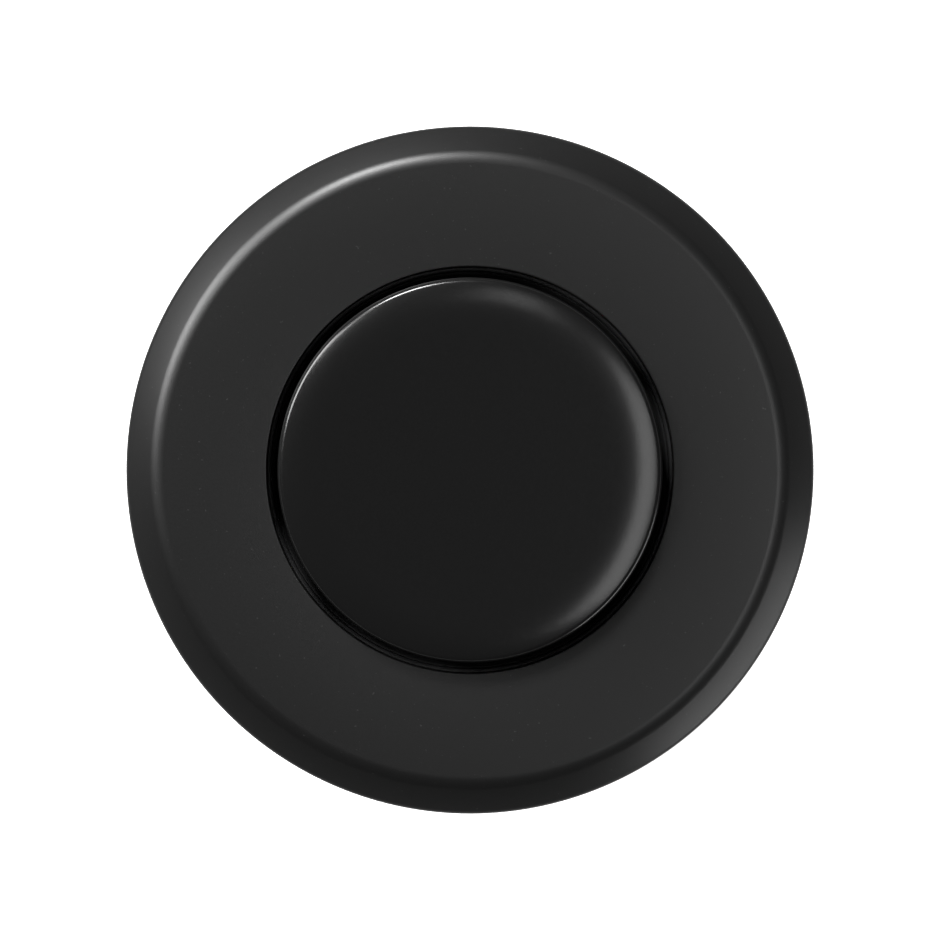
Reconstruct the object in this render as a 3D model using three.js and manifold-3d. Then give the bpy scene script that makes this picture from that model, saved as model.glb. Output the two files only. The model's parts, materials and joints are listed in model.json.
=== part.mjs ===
// Worktop air switch for a kitchen waste disposer: a round trim plate with a push button in its middle,
// on a threaded shank that passes through a 35 mm tap hole. Pressing the button squeezes a bellows, and
// the puff of air leaves through the hose barb at the bottom.
// Millimetres, +Z up. The origin is on the axis, on the worktop's upper face, where the gasket rests.
import * as THREE from "three";
import { mergeVertices } from "three/addons/utils/BufferGeometryUtils.js";
import Module from "manifold-3d";

const wasm = await Module();
wasm.setup();

// Driving dimensions
const trimRadius = 25.4; // a 2 inch plate
const trimTop = 8.0; // the plate's flat top above the worktop
const openingRadius = 14.95; // hole in the plate round the button
const buttonRadius = 14.1;
const buttonCrown = 10.2; // highest point of the button at rest
const buttonTravel = 5.0;
const boreRadius = 14.75; // the barrel's bore
const threadRadius = 17.0; // M34 x 1.5 over its crests
const threadPitch = 1.5;
const threadRelief = threadRadius - 0.67 * threadPitch; // undercut, just below the thread's root
const threadTop = -2.5;
const threadBottom = -51.0;
const barrelBottom = -60.0;
const worktop = 30.0; // the thickness that the clamp is set to
const gap = 0.3; // left between pieces that meet

// Places that several pieces share
const gasketTop = 1.6;
const headTop = 4.4; // the barrel's head, under the plate
const collarTop = 5.1;
const sealSection = 0.7; // half the thickness of the two moving or sealing rings
const skirtBottom = 2.5; // lower edge of the button cap
const plungerFoot = -14.0; // the plunger's underside, which the spring pushes
const footTop = plungerFoot + 4.0;
const stopTop = -8.5; // the snap ring that holds the plunger in
const stopBottom = -9.7;
const guideBottom = stopTop + gap + buttonTravel; // meets the snap ring when the button is right down
const seatTop = -44.4; // the spring's lower seat
const seatBottom = -45.5;
const capTop = -47.0; // inner face of the base cap
const capFloor = -52.0;
const capBottom = -62.8;
const plugRadius = boreRadius - 0.2;
const hookHeight = -57.4; // middle of the three snap hooks and of their windows
const hookCount = 3;
const wiperBottom = 2.7;
const wiperTop = 4.1;
const tapeBottom = 8.65; // between the plunger's head and the cap
const washerOuter = 22.8; // the two rings under the worktop
const clampGasketBottom = -worktop - 2.0;
const slipWasherBottom = clampGasketBottom - 1.2;
const bellowsTop = -15.7;
const plateTop = plungerFoot - 0.2; // the push plate on the bellows

// How finely round pieces are divided
const around = 32;
const aroundSmall = 20;

const blackPaint = { color: 0x1c1c1d, roughness: 0.5, metalness: 0.3 };
const glossPaint = { color: 0x121213, roughness: 0.2, metalness: 0.3 };
const blackPlastic = { color: 0x1b1b1c, roughness: 0.55, metalness: 0 };
const whitePlastic = { color: 0xdcd9d0, roughness: 0.45, metalness: 0 };
const blackRubber = { color: 0x141414, roughness: 0.8, metalness: 0 };
const greyRubber = { color: 0x4a4b4d, roughness: 0.75, metalness: 0 };
const paleRubber = { color: 0xb9c0c2, roughness: 0.5, metalness: 0 };
const steel = { color: 0xb9bbbd, roughness: 0.3, metalness: 1 };
const brass = { color: 0xb8934a, roughness: 0.3, metalness: 1 };
const foamTape = { color: 0xe4e2dc, roughness: 0.9, metalness: 0 };

// Revolves a closed outline of [radius, height] about +Z, with its faces pointing out.
function turned(path, segments = around) {
  const outline = path.getPoints(4);
  if (THREE.ShapeUtils.area(outline) < 0) outline.reverse();
  return new THREE.LatheGeometry(outline, segments).rotateX(Math.PI / 2);
}

// A closed path through [radius, height] corners.
function outline(corners) {
  const path = new THREE.Path(corners.map(([r, z]) => new THREE.Vector2(r, z)));
  const first = corners[0];
  if (first[0] > 0) path.lineTo(first[0], first[1]);
  return path;
}

// A plain ring of square section.
function washer(inner, outer, bottom, top, segments = around) {
  return turned(outline([[inner, bottom], [outer, bottom], [outer, top], [inner, top]]), segments);
}

function disc(radius, bottom, top, segments = aroundSmall) {
  return turned(outline([[0, bottom], [radius, bottom], [radius, top], [0, top]]), segments);
}

// A ring of round section, lying flat.
function roundRing(middle, section, height) {
  return new THREE.TorusGeometry(middle, section, 6, around).translate(0, 0, height);
}

function block(width, depth, height, x, y, z) {
  return new THREE.BoxGeometry(width, depth, height).translate(x, y, z);
}

// A hexagonal bar, flats facing +Y and -Y.
function hexBar(acrossFlats, bottom, top) {
  const corner = acrossFlats / Math.sqrt(3);
  const bar = new THREE.CylinderGeometry(corner, corner, top - bottom, 6);
  return bar.rotateX(Math.PI / 2).rotateZ(Math.PI / 6).translate(0, 0, (bottom + top) / 2);
}

function solid(geometry) {
  const bare = new THREE.BufferGeometry();
  bare.setAttribute("position", geometry.getAttribute("position").clone());
  bare.setIndex(geometry.index);
  const merged = mergeVertices(bare, 1e-4);
  const vertProperties = merged.attributes.position.array;
  const triVerts = new Uint32Array(merged.index.array);
  return new wasm.Manifold(new wasm.Mesh({ numProp: 3, vertProperties, triVerts }));
}

function geometryOf(shape) {
  const { vertProperties, triVerts } = shape.getMesh();
  const made = new THREE.BufferGeometry();
  made.setAttribute("position", new THREE.BufferAttribute(vertProperties, 3));
  made.setIndex(new THREE.BufferAttribute(triVerts, 1));
  return made.toNonIndexed();
}

// count turned copies of a geometry, evenly spaced about +Z
function spaced(geometry, count) {
  const turns = Array.from({ length: count }, (_, i) => (i * 2 * Math.PI) / count);
  return turns.map((turn) => solid(geometry.clone().rotateZ(turn)));
}

// The visible plate: flat top, bevelled rim, hollow underneath, and a short neck round the opening.
function trimFlange() {
  const rimInside = trimRadius - 2.1;
  const rimBottom = 0.5;
  const bevelWidth = 2.3;
  const bevelDrop = 1.8;
  const neckRadius = openingRadius + 1.45;
  const neckBottom = 5.4;
  const under = trimTop - 1.6;
  const filletInside = 0.8;
  const soft = 0.3; // how far the rounded edges reach
  const softDrop = 0.24;
  const path = new THREE.Path();
  path.moveTo(openingRadius, neckBottom);
  path.lineTo(neckRadius, neckBottom);
  path.lineTo(neckRadius, under);
  path.lineTo(rimInside - filletInside, under);
  path.lineTo(rimInside, under - filletInside);
  path.lineTo(rimInside, rimBottom);
  path.lineTo(trimRadius, rimBottom);
  path.lineTo(trimRadius, trimTop - bevelDrop - soft);
  path.quadraticCurveTo(trimRadius, trimTop - bevelDrop, trimRadius - soft, trimTop - bevelDrop + softDrop);
  path.lineTo(trimRadius - bevelWidth + soft, trimTop - softDrop);
  path.quadraticCurveTo(trimRadius - bevelWidth, trimTop, trimRadius - bevelWidth - 0.4, trimTop);
  path.lineTo(openingRadius + soft, trimTop);
  path.lineTo(openingRadius, trimTop - soft);
  path.closePath();
  return turned(path);
}

// Rubber ring under the barrel's head, on the worktop
function flangeGasket() {
  return washer(threadRadius + 0.3, trimRadius - 2.5, 0, gasketTop);
}

// Grips the inside of the plate's rim, so that the plate pushes on.
function trimORing() {
  return roundRing(trimRadius - 3.05, 0.75, (gasketTop + headTop) / 2);
}

// Threaded shank with a head. The thread is a plain cylinder over its crests.
function barrel() {
  const crest = threadRadius - 0.05;
  const headRadius = trimRadius - 2.7;
  const grooveRadius = trimRadius - 3.9;
  const tailRadius = 15.9;
  const collarRadius = 16.9;
  const wiperGroove = boreRadius + 1.0;
  const stopGroove = boreRadius + 0.6;
  const grooveBottom = gasketTop + 0.5;
  const grooveTop = headTop - 0.5;
  const body = turned(
    outline([
      [boreRadius, barrelBottom],
      [tailRadius, barrelBottom],
      [tailRadius, threadBottom - 0.8],
      [crest, threadBottom + 0.2],
      [crest, threadTop],
      [threadRelief, threadTop + 0.9],
      [threadRelief, gasketTop],
      [headRadius, gasketTop],
      [headRadius, grooveBottom],
      [grooveRadius, grooveBottom],
      [grooveRadius, grooveTop],
      [headRadius, grooveTop],
      [headRadius, headTop],
      [collarRadius, headTop],
      [collarRadius, collarTop],
      [boreRadius, collarTop],
      [boreRadius, wiperTop + 0.1],
      [wiperGroove, wiperTop + 0.1],
      [wiperGroove, wiperBottom - 0.1],
      [boreRadius, wiperBottom - 0.1],
      [boreRadius, stopTop + 0.1],
      [stopGroove, stopTop + 0.1],
      [stopGroove, stopBottom - 0.1],
      [boreRadius, stopBottom - 0.1],
    ]),
  );
  const window = { depth: 4, width: 6, height: 3 };
  const cutter = block(window.depth, window.width, window.height, boreRadius + 0.9, 0, hookHeight);
  const windows = spaced(cutter, hookCount);
  return geometryOf(windows.reduce((shape, opening) => shape.subtract(opening), solid(body)));
}

// Soft lip in the barrel's mouth that keeps water off the plunger
function wiperRing() {
  const lip = buttonRadius + 0.15;
  const heel = boreRadius + 0.85;
  const middle = (wiperBottom + wiperTop) / 2;
  return turned(
    outline([
      [boreRadius - 0.2, wiperBottom],
      [heel, wiperBottom],
      [heel, wiperTop],
      [boreRadius - 0.2, wiperTop],
      [lip, middle + 0.1],
      [lip, middle - 0.2],
    ]),
  );
}

// Drawn metal shell: a nearly flat crown that rolls over at its shoulder, and a straight skirt.
function buttonCap() {
  const wall = 0.85;
  const shoulder = buttonCrown - 0.75;
  const path = new THREE.Path();
  path.moveTo(0, buttonCrown - wall);
  path.lineTo(buttonRadius - wall, buttonCrown - wall - 0.3);
  path.lineTo(buttonRadius - wall, skirtBottom);
  path.lineTo(buttonRadius, skirtBottom);
  path.lineTo(buttonRadius, shoulder - 0.4);
  path.quadraticCurveTo(buttonRadius, shoulder, buttonRadius - 0.4, shoulder + 0.1);
  path.quadraticCurveTo(buttonRadius - 2.0, buttonCrown - 0.1, 0, buttonCrown);
  return turned(path);
}

// Double-sided foam disc that bonds the cap to the plunger
function capTape() {
  return disc(11.5, tapeBottom, tapeBottom + 0.3);
}

// Moulded plunger: a head inside the cap, two guide rings with a waist between them, and a central stem.
function plunger() {
  const head = buttonRadius - 1.0;
  const guide = boreRadius - 0.3;
  const waist = 12.4;
  const groove = 12.9;
  const inside = 11.0;
  const stem = 3.0;
  const headBottom = 7.0;
  const headTopFace = tapeBottom - 0.05;
  const sealTop = 0.5;
  const sealBottom = -1.5;
  const ribHeight = 12;
  const ribThickness = 1.2;
  const ribTop = headBottom + 0.5; // sunk into the head
  const shell = turned(
    outline([
      [0, headBottom],
      [inside, headBottom],
      [inside, plungerFoot],
      [guide, plungerFoot],
      [guide, footTop],
      [waist, footTop],
      [waist, guideBottom],
      [guide, guideBottom],
      [guide, sealBottom],
      [groove, sealBottom],
      [groove, sealTop],
      [guide, sealTop],
      [guide, skirtBottom - gap],
      [head, skirtBottom - gap],
      [head, headTopFace],
      [0, headTopFace],
    ]),
  );
  const rib = block(2 * inside + 1, ribThickness, ribHeight, 0, 0, ribTop - ribHeight / 2);
  const crossRib = rib.clone().rotateZ(Math.PI / 2);
  const inner = [disc(stem, plungerFoot, ribTop), rib, crossRib];
  return geometryOf(inner.reduce((shape, piece) => shape.add(solid(piece)), solid(shell)));
}

function plungerSeal() {
  return roundRing(13.8, sealSection, -0.5);
}

// Open snap ring in the barrel's groove. The plunger's foot comes up against it.
function stopRing() {
  const inner = 12.9;
  const outer = boreRadius + 0.45;
  const endGap = 5;
  const ring = solid(washer(inner, outer, stopBottom, stopTop));
  const opening = block(6, endGap, 4, (inner + outer) / 2, 0, (stopTop + stopBottom) / 2);
  return geometryOf(ring.subtract(solid(opening)));
}

class SpringLine extends THREE.Curve {
  constructor(radius, bottom, top, coils, closedPitch) {
    super();
    Object.assign(this, { radius, bottom, top, coils, closedPitch });
  }

  // One closed turn at each end, and the open turns between them
  getPoint(t, target = new THREE.Vector3()) {
    const turn = t * this.coils;
    const openPitch = (this.top - this.bottom - 2 * this.closedPitch) / (this.coils - 2);
    const open = THREE.MathUtils.clamp(turn - 1, 0, this.coils - 2);
    const rise = open * openPitch + (turn - open) * this.closedPitch;
    const angle = turn * 2 * Math.PI;
    return target.set(this.radius * Math.cos(angle), this.radius * Math.sin(angle), this.bottom + rise);
  }
}

// Stainless coil spring round the bellows, from the seat to the plunger's foot
function returnSpring() {
  const wire = 0.6;
  const coils = 8;
  const coilRadius = 12.95;
  const clear = wire + 0.1; // from the wire's middle to what it pushes on
  const closedPitch = 2 * wire + 0.15;
  const line = new SpringLine(coilRadius, seatTop + clear, plungerFoot - clear, coils, closedPitch);
  const section = new THREE.Shape();
  section.absarc(0, 0, wire, 0, 2 * Math.PI);
  const options = { extrudePath: line, steps: coils * 12, curveSegments: 3, bevelEnabled: false };
  return new THREE.ExtrudeGeometry(section, options);
}

// Disc under the plunger's stem that spreads its push over the bellows
function pushPlate() {
  return disc(9.6, bellowsTop + 0.2, plateTop);
}

// Folded rubber chamber, closed at the top, with a foot and a hole at the bottom
function bellows() {
  const folds = 7;
  const crest = 10.8;
  const valley = 8.2;
  const wall = 0.8;
  const foot = { radius: 11.0, top: -45.8, bottom: -46.8, hole: 3.6 };
  const neck = 1.2; // plain length above the foot and under the top
  const innerTop = bellowsTop - 1.4;
  const pitch = (innerTop - foot.top - neck) / folds;
  const outside = [];
  const inside = [];
  for (let fold = 0; fold < folds; fold++) {
    const base = foot.top + neck + fold * pitch;
    outside.push([valley, base], [crest, base + 0.5 * pitch]);
    inside.push([valley - wall, base], [crest - 1.4 * wall, base + 0.5 * pitch]);
  }
  const corners = [
    [foot.hole, foot.bottom],
    [foot.radius, foot.bottom],
    [foot.radius, foot.top],
    [valley, foot.top],
    ...outside,
    [valley, bellowsTop - neck],
    [valley, bellowsTop],
    [0, bellowsTop],
    [0, bellowsTop - wall],
    [valley - wall, innerTop],
    ...inside.reverse(),
    [valley - wall, foot.top],
    [foot.hole, foot.top],
    [foot.hole, foot.bottom],
  ];
  return turned(new THREE.Path(corners.map(([r, z]) => new THREE.Vector2(r, z))), aroundSmall);
}

// Steel ring that holds the bellows' foot down and carries the spring
function springSeat() {
  return washer(8.9, boreRadius - 0.35, seatBottom, seatTop, around);
}

// Plug in the barrel's lower end, held by three hooks, hollow and ribbed underneath
function baseCap() {
  const barbHole = 3.3;
  const boss = 6.5;
  const hollow = 12.4;
  const rim = 15.9;
  const groove = 13.1;
  const grooveTop = -49.0;
  const grooveBottom = -51.0;
  const shell = turned(
    outline([
      [barbHole, capTop],
      [barbHole, capBottom],
      [boss, capBottom],
      [boss, capFloor],
      [hollow, capFloor],
      [hollow, capBottom],
      [rim, capBottom],
      [rim, barrelBottom - gap],
      [plugRadius, barrelBottom - gap],
      [plugRadius, grooveBottom],
      [groove, grooveBottom],
      [groove, grooveTop],
      [plugRadius, grooveTop],
      [plugRadius, capTop],
    ]),
  );
  const rib = { length: 7, thickness: 1.2, height: 9.5, count: 6 };
  const hook = { depth: 1.6, width: 5.4, height: 2.4 };
  const ribBlock = block(rib.length, rib.thickness, rib.height, (boss + hollow) / 2, 0, capFloor - 4.5);
  const hookBlock = block(hook.depth, hook.width, hook.height, plugRadius + 0.2, 0, hookHeight);
  const ribs = spaced(ribBlock, rib.count);
  const hooks = spaced(hookBlock, hookCount);
  return geometryOf([...ribs, ...hooks].reduce((shape, piece) => shape.add(piece), solid(shell)));
}

function baseSeal() {
  return roundRing(13.9, sealSection, -50);
}

// Sealing washer between the base cap and the barb's hexagon
function barbWasher() {
  return washer(3.4, 6.3, capBottom - 0.9, capBottom - 0.1, aroundSmall);
}

// Turned brass fitting: a stem up into the bellows, a hexagon, and three barbs for the air tube
function hoseBarb() {
  const bore = 1.2;
  const mouth = 2.0;
  const stem = 3.1;
  const stemTop = -44.0;
  const hexTop = capBottom - 1.0;
  const hexBottom = hexTop - 4.4;
  const tip = hexBottom - 13.0;
  const root = 2.2;
  const ridge = 2.85;
  const neck = 2.2; // plain length between the hexagon and the first ridge
  const ridgePitch = 3.6;
  const land = 0.4;
  const slope = 2.2;
  const flats = 12;
  const ridgeTops = [2, 1, 0].map((i) => hexBottom - neck - i * ridgePitch);
  const ridgeAt = (top) => [[root, top - land - slope], [ridge, top - land], [ridge, top], [root, top]];
  const corners = [
    [bore, stemTop],
    [bore, tip],
    [mouth, tip],
    ...ridgeTops.flatMap(ridgeAt),
    [root, hexBottom + 0.5],
    [stem, hexTop],
    [stem, stemTop],
  ];
  const core = solid(turned(outline(corners), aroundSmall));
  const hole = disc((bore + root) / 2, hexBottom - 1, hexTop + 1);
  const hex = solid(hexBar(flats, hexBottom, hexTop)).subtract(solid(hole));
  return geometryOf(core.add(hex));
}

// Rubber ring under the worktop
function clampGasket() {
  return washer(threadRadius + 0.3, washerOuter, clampGasketBottom, -worktop);
}

// Thin steel washer that lets the nut turn without dragging the rubber
function slipWasher() {
  return washer(threadRadius + 0.3, washerOuter, slipWasherBottom, clampGasketBottom);
}

// Hexagonal plastic nut with a round flange. Its bore is plain and clears the thread's crests.
function lockNut() {
  const top = slipWasherBottom - 0.1;
  const flangeBottom = top - 2.2;
  const bottom = top - 10.0;
  const flats = 40;
  const flangeRadius = 23.6;
  const hexRadius = 23.1;
  const chamferWidth = 1.4;
  const chamferHeight = 0.9;
  const chamfer = turned(
    outline([
      [0, bottom],
      [hexRadius - chamferWidth, bottom],
      [hexRadius, bottom + chamferHeight],
      [hexRadius, flangeBottom + 0.1],
      [0, flangeBottom + 0.1],
    ]),
  );
  const hex = solid(hexBar(flats, bottom - 1, top - 1)).intersect(solid(chamfer));
  const flange = solid(disc(flangeRadius, flangeBottom, top, around));
  const bore = solid(disc(threadRadius + 0.15, bottom - 1, top + 1, around));
  return geometryOf(hex.add(flange).subtract(bore));
}

const part = new THREE.Group();

function add(name, geometry, look) {
  const mesh = new THREE.Mesh(geometry, new THREE.MeshStandardMaterial(look));
  mesh.name = name;
  part.add(mesh);
}

// Above the worktop
add("trim_flange", trimFlange(), blackPaint);
add("trim_o_ring", trimORing(), blackRubber);
add("flange_gasket", flangeGasket(), blackRubber);
add("wiper_ring", wiperRing(), blackRubber);

// The button and what moves with it
add("button_cap", buttonCap(), glossPaint);
add("cap_tape", capTape(), foamTape);
add("plunger", plunger(), whitePlastic);
add("plunger_seal", plungerSeal(), blackRubber);

// The shank and what it holds
add("barrel", barrel(), blackPlastic);
add("stop_ring", stopRing(), steel);
add("return_spring", returnSpring(), steel);
add("push_plate", pushPlate(), whitePlastic);
add("bellows", bellows(), paleRubber);
add("spring_seat", springSeat(), steel);
add("base_cap", baseCap(), blackPlastic);
add("base_seal", baseSeal(), blackRubber);
add("barb_washer", barbWasher(), blackRubber);
add("hose_barb", hoseBarb(), brass);

// The clamp under the worktop
add("clamp_gasket", clampGasket(), greyRubber);
add("slip_washer", slipWasher(), steel);
add("lock_nut", lockNut(), blackPlastic);

export default part;
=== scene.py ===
import json
import math

import bmesh
import bpy
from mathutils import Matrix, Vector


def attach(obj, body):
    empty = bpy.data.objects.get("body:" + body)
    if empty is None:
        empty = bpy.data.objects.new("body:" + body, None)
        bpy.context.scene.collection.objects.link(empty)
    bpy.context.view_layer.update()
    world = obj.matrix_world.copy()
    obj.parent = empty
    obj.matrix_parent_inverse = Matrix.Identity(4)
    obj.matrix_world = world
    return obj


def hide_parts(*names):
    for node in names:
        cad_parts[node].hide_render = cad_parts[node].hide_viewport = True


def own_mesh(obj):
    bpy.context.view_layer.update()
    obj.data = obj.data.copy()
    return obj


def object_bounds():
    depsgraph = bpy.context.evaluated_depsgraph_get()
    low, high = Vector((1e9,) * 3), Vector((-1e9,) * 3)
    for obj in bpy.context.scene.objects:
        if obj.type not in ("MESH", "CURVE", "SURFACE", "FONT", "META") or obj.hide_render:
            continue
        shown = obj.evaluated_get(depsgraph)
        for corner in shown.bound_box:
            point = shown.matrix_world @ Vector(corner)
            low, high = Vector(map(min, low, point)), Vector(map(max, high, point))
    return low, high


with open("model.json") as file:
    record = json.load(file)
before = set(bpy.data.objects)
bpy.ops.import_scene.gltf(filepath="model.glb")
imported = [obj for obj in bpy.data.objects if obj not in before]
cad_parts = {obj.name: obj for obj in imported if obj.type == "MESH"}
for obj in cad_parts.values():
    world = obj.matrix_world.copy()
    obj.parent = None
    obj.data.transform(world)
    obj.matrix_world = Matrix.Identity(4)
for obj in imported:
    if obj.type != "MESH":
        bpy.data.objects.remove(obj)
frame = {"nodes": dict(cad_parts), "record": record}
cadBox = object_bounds()

mm = 0.001
tiny = 1e-6  # vertices closer than this are one, in metres
print("frame loaded:", len(frame["nodes"]), "nodes")


# small helpers for modelling in edit mode

def measured(node):
    # inner and outer radius, bottom and top of a turned CAD node, in mm
    points = [vertex.co for vertex in frame["nodes"][node].data.vertices]
    radii = [math.hypot(point.x, point.y) / mm for point in points]
    heights = [point.z / mm for point in points]
    return {"inner": min(radii), "outer": max(radii), "bottom": min(heights), "top": max(heights)}


def editMode():
    bpy.ops.object.mode_set(mode="EDIT")


def objectMode():
    bpy.ops.object.mode_set(mode="OBJECT")


def pick(piece, kind, test):
    # selects only the vertices, edges or faces that pass the test
    bpy.ops.mesh.select_mode(type=kind)
    bpy.ops.mesh.select_all(action="DESELECT")
    mesh = bmesh.from_edit_mesh(piece.data)
    for item in {"VERT": mesh.verts, "EDGE": mesh.edges, "FACE": mesh.faces}[kind]:
        if test(item):
            item.select_set(True)
    mesh.select_flush_mode()
    bmesh.update_edit_mesh(piece.data)


def settle(piece):
    # a new primitive's place goes into its mesh
    bpy.ops.object.transform_apply(location=True, rotation=True, scale=True)
    return piece


def drawOutline(name, corners, closed=True, segments=4):
    # corners are (radius, height) or (radius, height, cut), in mm; cut rounds that corner
    bpy.ops.object.select_all(action="DESELECT")
    first = corners[0]
    bpy.ops.mesh.primitive_plane_add(size=mm, location=(first[0] * mm, 0, first[1] * mm))
    piece = settle(bpy.context.object)
    piece.name = piece.data.name = name
    editMode()
    bpy.ops.mesh.select_mode(type="VERT")  # a lone vertex can't be picked in the other modes
    bpy.ops.mesh.select_all(action="SELECT")
    bpy.ops.mesh.merge(type="CENTER")
    here = first
    for there in corners[1:] + (corners[:1] if closed else []):
        step = ((there[0] - here[0]) * mm, 0, (there[1] - here[1]) * mm)
        bpy.ops.mesh.extrude_region_move(TRANSFORM_OT_translate={"value": step})
        here = there
    bpy.ops.mesh.select_all(action="SELECT")
    bpy.ops.mesh.remove_doubles(threshold=tiny)
    rounded = [corner for corner in corners if len(corner) > 2 and corner[2]]
    for cut in sorted({corner[2] for corner in rounded}):
        spots = [corner for corner in rounded if corner[2] == cut]

        def isCorner(vertex):
            x, z = vertex.co.x, vertex.co.z
            return any(math.hypot(x - spot[0] * mm, z - spot[1] * mm) < 2 * tiny for spot in spots)

        pick(piece, "VERT", isCorner)
        bpy.ops.mesh.bevel(offset=cut * mm, segments=segments, affect="VERTICES", clamp_overlap=True)
    return piece


def closeUp(piece):
    bpy.ops.mesh.select_mode(type="VERT")
    bpy.ops.mesh.select_all(action="SELECT")
    bpy.ops.mesh.remove_doubles(threshold=tiny)
    bpy.ops.mesh.dissolve_degenerate(threshold=tiny / 10)
    bpy.ops.mesh.select_all(action="SELECT")
    bpy.ops.mesh.normals_make_consistent(inside=False)
    objectMode()
    return piece


def spinRound(piece, steps, angle=2 * math.pi):
    bpy.ops.mesh.select_all(action="SELECT")
    bpy.ops.mesh.spin(steps=steps, angle=angle, center=(0, 0, 0), axis=(0, 0, 1))


def turned(name, corners, steps=128, closed=True, segments=4):
    piece = drawOutline(name, corners, closed, segments)
    spinRound(piece, steps)
    return closeUp(piece)


def copiesRound(piece, count):
    # spreads copies of the whole mesh evenly about the axis
    editMode()
    bpy.ops.mesh.select_all(action="SELECT")
    bpy.ops.mesh.spin(steps=count, dupli=True, angle=2 * math.pi, center=(0, 0, 0), axis=(0, 0, 1))
    return closeUp(piece)


def box(name, width, depth, height, x, z, softness):
    # a block with its edges bevelled, sizes in mm
    bpy.ops.object.select_all(action="DESELECT")
    bpy.ops.mesh.primitive_cube_add(size=mm, location=(x * mm, 0, z * mm))
    piece = bpy.context.object
    piece.name = piece.data.name = name
    piece.scale = (width, depth, height)
    settle(piece)
    editMode()
    bpy.ops.mesh.select_all(action="SELECT")
    bpy.ops.mesh.bevel(offset=softness * mm, segments=2, affect="EDGES")
    objectMode()
    return piece


def hexBar(name, acrossFlats, bottom, top, cornerCut):
    # a hexagonal bar with flats towards Y, its long edges rounded
    bpy.ops.object.select_all(action="DESELECT")
    bpy.ops.mesh.primitive_cylinder_add(
        vertices=6, radius=acrossFlats / math.sqrt(3) * mm, depth=(top - bottom) * mm,
        location=(0, 0, (bottom + top) / 2 * mm), rotation=(0, 0, math.pi / 6))
    piece = settle(bpy.context.object)
    piece.name = piece.data.name = name
    editMode()
    pick(piece, "EDGE", lambda edge: abs(edge.verts[0].co.z - edge.verts[1].co.z) > tiny)
    bpy.ops.mesh.bevel(offset=cornerCut * mm, segments=4, affect="EDGES")
    return closeUp(piece)


def combine(piece, tool, operation):
    bpy.ops.object.select_all(action="DESELECT")
    bpy.context.view_layer.objects.active = piece
    piece.select_set(True)
    bpy.ops.object.modifier_add(type="BOOLEAN")
    modifier = piece.modifiers[-1]
    modifier.operation = operation
    modifier.solver = "EXACT"
    modifier.object = tool
    bpy.ops.object.modifier_apply(modifier=modifier.name)
    bpy.data.objects.remove(tool)
    return piece


def joined(piece, other):
    bpy.ops.object.select_all(action="DESELECT")
    other.select_set(True)
    piece.select_set(True)
    bpy.context.view_layer.objects.active = piece
    bpy.ops.object.join()
    editMode()
    return closeUp(piece)


bodyOfNode = {node: body for body, nodes in frame["record"]["behaviour"]["bodies"].items() for node in nodes}


def finishPiece(piece, node, look, smoothUnder=35):
    # shading, material, and what the piece stands for
    bpy.ops.object.select_all(action="DESELECT")
    piece.select_set(True)
    bpy.context.view_layer.objects.active = piece
    bpy.ops.object.shade_smooth_by_angle(angle=math.radians(smoothUnder))
    piece.data.materials.clear()
    piece.data.materials.append(look.material)
    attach(piece, bodyOfNode[node])
    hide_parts(node)
    return piece


# materials

class Wire:
    # an output socket; arithmetic on it adds Math nodes
    def __init__(self, look, socket):
        self.look = look
        self.socket = socket

    def maths(self, operation, first, second):
        return self.look.add("Math", {"operation": operation}, {0: first, 1: second})

    def __add__(self, other):
        return self.maths("ADD", self, other)

    __radd__ = __add__

    def __sub__(self, other):
        return self.maths("SUBTRACT", self, other)

    def __rsub__(self, other):
        return self.maths("SUBTRACT", other, self)

    def __mul__(self, other):
        return self.maths("MULTIPLY", self, other)

    __rmul__ = __mul__

    def __gt__(self, other):
        return self.maths("GREATER_THAN", self, other)


class Look:
    def __init__(self, name, colour, roughness, **fixed):
        self.material = bpy.data.materials.new(name)
        self.material.use_nodes = True
        self.tree = self.material.node_tree
        self.shader = self.tree.nodes["Principled BSDF"]
        self.shader.inputs["Base Color"].default_value = (*colour, 1)
        self.shader.inputs["Roughness"].default_value = roughness
        for key, value in fixed.items():
            self.shader.inputs[key.replace("_", " ").title().replace("Ior", "IOR")].default_value = value
        self.place = self.add("TexCoord", output="Object")

    def add(self, kind, settings=None, values=None, output=0):
        node = self.tree.nodes.new("ShaderNode" + kind)
        for key, value in (settings or {}).items():
            setattr(node, key, value)
        for key, value in (values or {}).items():
            self.feed(node.inputs[key], value)
        return Wire(self, node.outputs[output])

    def feed(self, socket, value):
        if isinstance(value, Wire):
            self.tree.links.new(value.socket, socket)
        else:
            socket.default_value = value

    def noise(self, size, detail=2.0, roughness=0.5, stretch=None):
        # size of the grain in mm; stretch lengthens it along X, Y, Z
        place = self.place
        if stretch:
            place = self.add("Mapping", values={"Vector": place, "Scale": [1 / part for part in stretch]})
        values = {"Vector": place, "Scale": 1 / (size * mm), "Detail": detail, "Roughness": roughness}
        return self.add("TexNoise", values=values)

    def spread(self, amount, low, high, fromLow=0.0, fromHigh=1.0):
        values = {"Value": amount, "From Min": fromLow, "From Max": fromHigh, "To Min": low, "To Max": high}
        return self.add("MapRange", values=values)

    def tint(self, amount, darker, lighter):
        values = {0: amount, 6: (*darker, 1), 7: (*lighter, 1)}
        return self.add("Mix", {"data_type": "RGBA"}, values, output=2)

    def colour(self, wire):
        self.feed(self.shader.inputs["Base Color"], wire)

    def roughness(self, wire):
        self.feed(self.shader.inputs["Roughness"], wire)

    def relief(self, height, depth):
        # depth in mm between the lowest and highest of a height that runs from 0 to 1
        bump = self.add("Bump", values={"Strength": 1.0, "Distance": depth * mm, "Height": height})
        self.feed(self.shader.inputs["Normal"], bump)


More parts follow.
